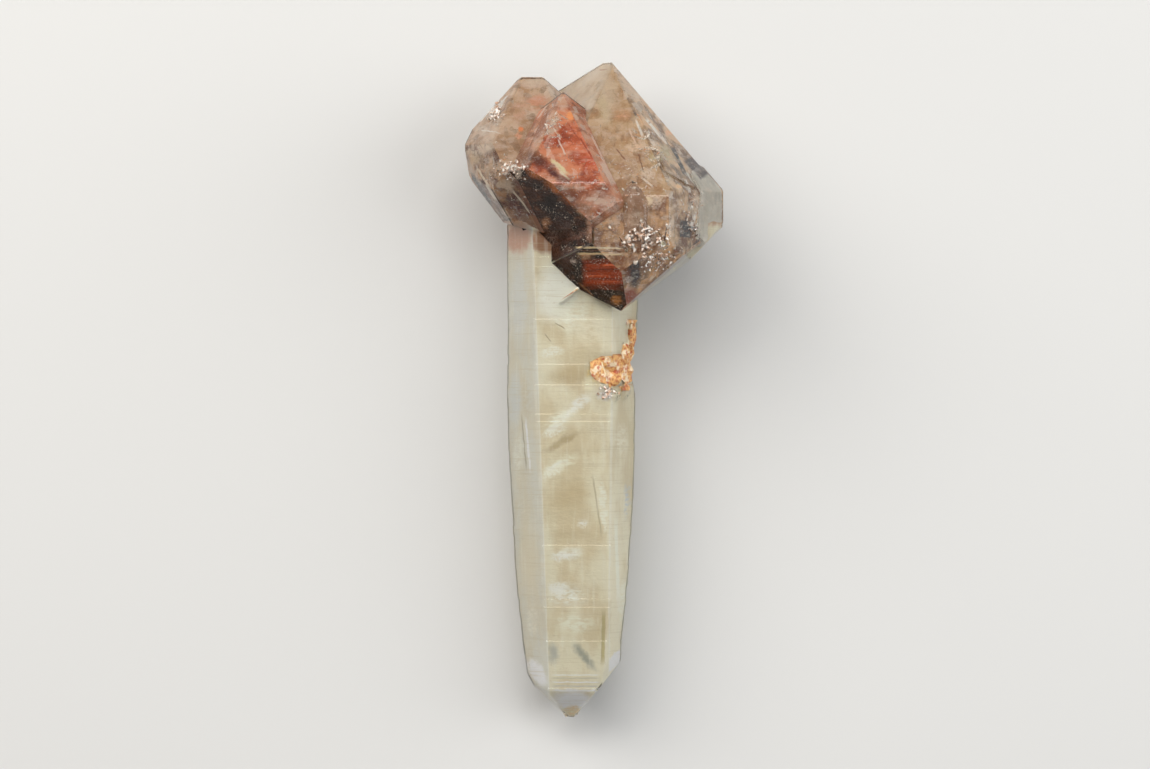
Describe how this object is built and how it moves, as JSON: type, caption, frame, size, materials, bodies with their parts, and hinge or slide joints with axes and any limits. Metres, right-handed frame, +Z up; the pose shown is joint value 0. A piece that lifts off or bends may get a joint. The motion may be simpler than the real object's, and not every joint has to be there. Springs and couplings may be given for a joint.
{
  "type": "scepter quartz crystal",
  "caption": "Natural scepter quartz: a six sided pale stem with a blunt point, overgrown at one end by a larger group of parallel smoky red crystals",
  "frame": {"origin": "under the middle of the bounding box, on the surface that the crystal lies on", "axes": "+Y along the crystal from the stem's point to the head, +X to the right seen from above with the head up, +Z up out of the front faces"},
  "size_m": [0.0354, 0.09, 0.0271],
  "materials": {
    "quartz": "gloss"
  },
  "bodies": {
    "root": {"scepter_quartz": "quartz"}
  },
  "joints": []
}
